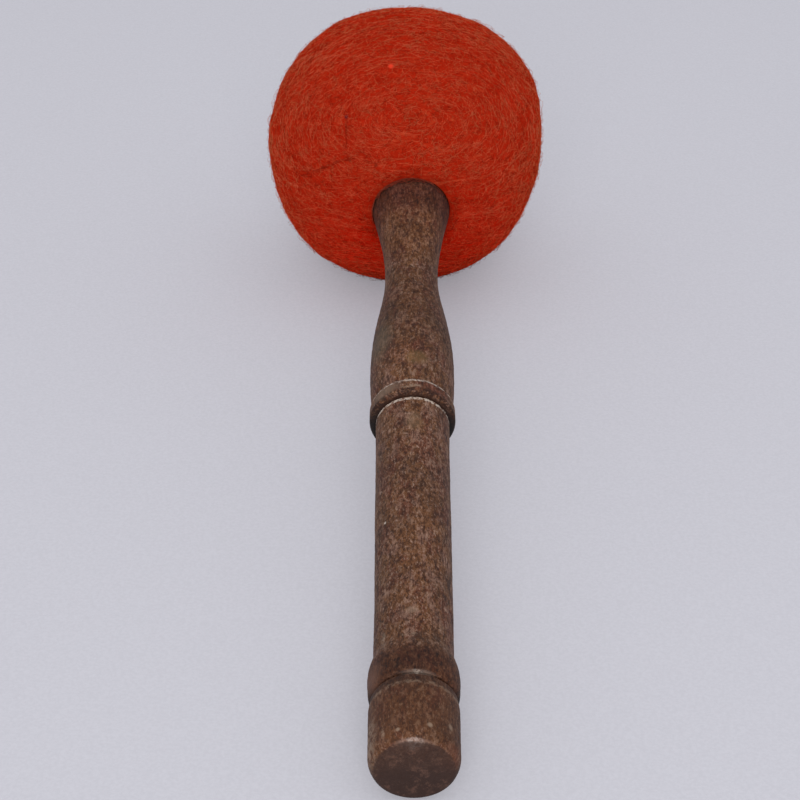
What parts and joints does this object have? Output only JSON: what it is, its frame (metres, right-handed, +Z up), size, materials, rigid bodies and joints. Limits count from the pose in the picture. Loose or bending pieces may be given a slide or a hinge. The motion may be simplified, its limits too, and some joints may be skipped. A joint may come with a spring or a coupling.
{
  "type": "singing bowl mallet",
  "caption": "Turned wooden handle with beads, a waist and a flared collar, carrying a ball-shaped head of felted orange wool, for sounding a singing bowl.",
  "frame": {"origin": "on the floor that the mallet lies on, under the middle of its box", "axes": "+Y runs from the handle's end towards the head, +X to the right seen from the handle's end, +Z up; the mallet's own axis rises 7.2 degrees towards the head"},
  "size_m": [0.0848, 0.3036, 0.0856],
  "materials": {
    "handle_wood": "dull unvarnished turned hardwood with open pores and worn edges",
    "wedge_wood": "split softwood, raw",
    "core_wood": "rough turned softwood, raw",
    "padding_felt": "undyed felt batting",
    "tie_thread": "twisted cotton thread",
    "plain_wool": "undyed wool roving, wound tight",
    "dyed_wool": "orange-red wool roving, wound and felted, with loose fibres"
  },
  "bodies": {
    "root": {"handle": "handle_wood", "tenon_wedge": "wedge_wood", "head_core": "core_wood", "core_padding": "padding_felt", "padding_tie": "tie_thread", "inner_winding": "plain_wool", "wool_cover": "dyed_wool"}
  },
  "joints": []
}
